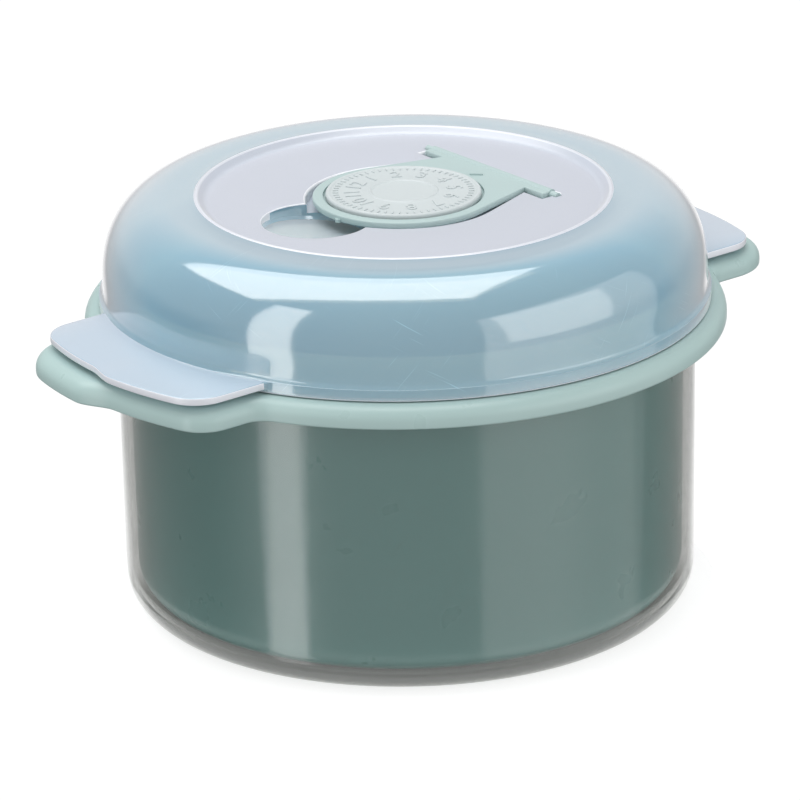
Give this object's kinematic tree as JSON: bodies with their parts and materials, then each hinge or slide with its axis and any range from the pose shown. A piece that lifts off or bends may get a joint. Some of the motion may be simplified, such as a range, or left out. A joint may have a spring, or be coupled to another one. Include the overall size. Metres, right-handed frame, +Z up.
{
  "type": "snap lid food container",
  "caption": "Round double-walled food container with two stepped grips, a domed snap lid, a hinged steam-vent flap and a turning date dial.",
  "frame": {"origin": "middle of the base, on the surface that the container stands on", "axes": "+X along both grips towards the flap's hinge, +Z up, +Y to the left of +X"},
  "size_m": [0.2176, 0.1772, 0.1174],
  "materials": {
    "clear_shell": "clear gloss plastic",
    "mint": "smooth satin gloss",
    "clear_lid": "slightly milky clear plastic, frosted disc on top",
    "light_mint": "satin",
    "pale_dial": "satin, embossed"
  },
  "bodies": {
    "container": {"outer_shell": "clear_shell", "inner_bowl": "mint"},
    "lid": {"lid": "clear_lid"},
    "flap": {"vent_flap": "light_mint"},
    "dial": {"date_dial": "pale_dial"}
  },
  "joints": [
    {"name": "lid_lift", "type": "slide", "parent": "container", "child": "lid", "axis": [0, 0, 1], "range_m": [0, 0.06]},
    {"name": "flap_hinge", "type": "hinge", "parent": "lid", "child": "flap", "pos_m": [0.0316, 0, 0.11525], "axis": [0, 1, 0], "range_deg": [0, 95]},
    {"name": "dial_turn", "type": "hinge", "parent": "flap", "child": "dial", "pos_m": [0, 0, 0.1162], "axis": [0, 0, 1], "continuous": true}
  ]
}
